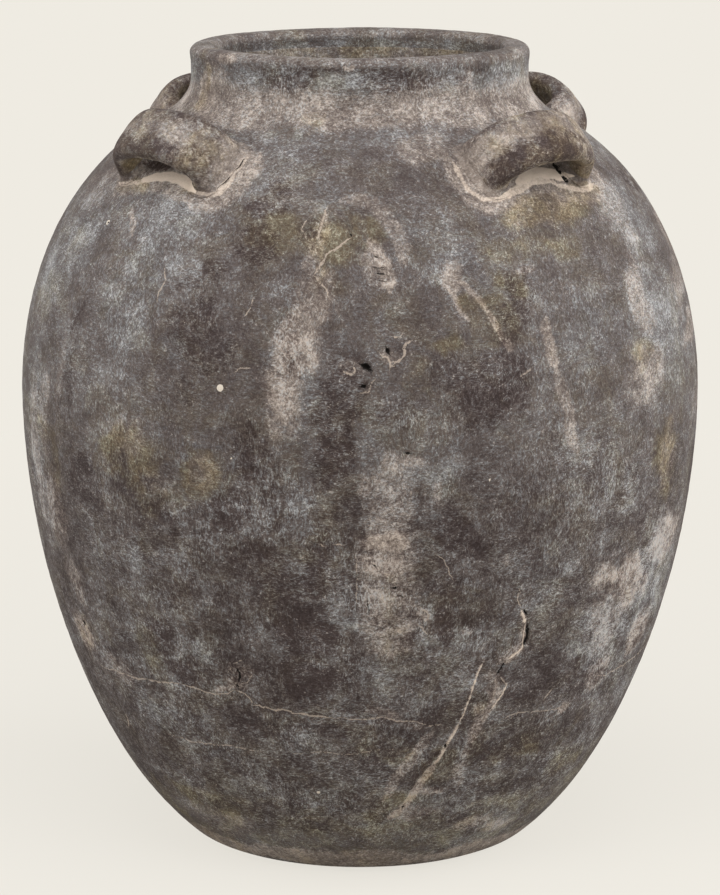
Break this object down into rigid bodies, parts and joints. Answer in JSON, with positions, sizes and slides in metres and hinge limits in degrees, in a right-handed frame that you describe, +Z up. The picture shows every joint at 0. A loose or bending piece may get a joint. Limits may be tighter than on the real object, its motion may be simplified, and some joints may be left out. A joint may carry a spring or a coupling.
{
  "type": "terracotta urn",
  "caption": "Large unglazed terracotta urn: a wide-shouldered storage jar with a short upright neck, a round rim and strap handles on its shoulder.",
  "frame": {"origin": "centre of the foot's underside, on the ground", "axes": "+Z up along the jar's axis; the handles stand on +X, +Y, -X and -Y"},
  "size_m": [0.427, 0.427, 0.5],
  "materials": {
    "lower_clay": "matte, unglazed, weathered dark grey-brown",
    "upper_clay": "matte, unglazed, weathered grey with pale wash and ochre stains",
    "rim_clay": "matte, unglazed, grey with a beige wash round the foot of the neck",
    "handle_clay": "matte, unglazed, dark grey-brown, paler where rubbed",
    "slip_clay": "matte, pale beige slip with a fine crack"
  },
  "bodies": {
    "root": {"foot_slab": "lower_clay", "foot_wall_course": "lower_clay", "lower_wall_course": "lower_clay", "belly_course_lower": "lower_clay", "belly_course_middle": "upper_clay", "belly_course_upper": "upper_clay", "shoulder_course": "upper_clay", "neck_collar": "rim_clay", "rim_roll": "rim_clay", "strap_handle_1": "handle_clay", "luting_coil_1a": "slip_clay", "luting_coil_1b": "slip_clay", "strap_handle_2": "handle_clay", "luting_coil_2a": "slip_clay", "luting_coil_2b": "slip_clay", "strap_handle_3": "handle_clay", "luting_coil_3a": "slip_clay", "luting_coil_3b": "slip_clay", "strap_handle_4": "handle_clay", "luting_coil_4a": "slip_clay", "luting_coil_4b": "slip_clay"}
  },
  "joints": []
}
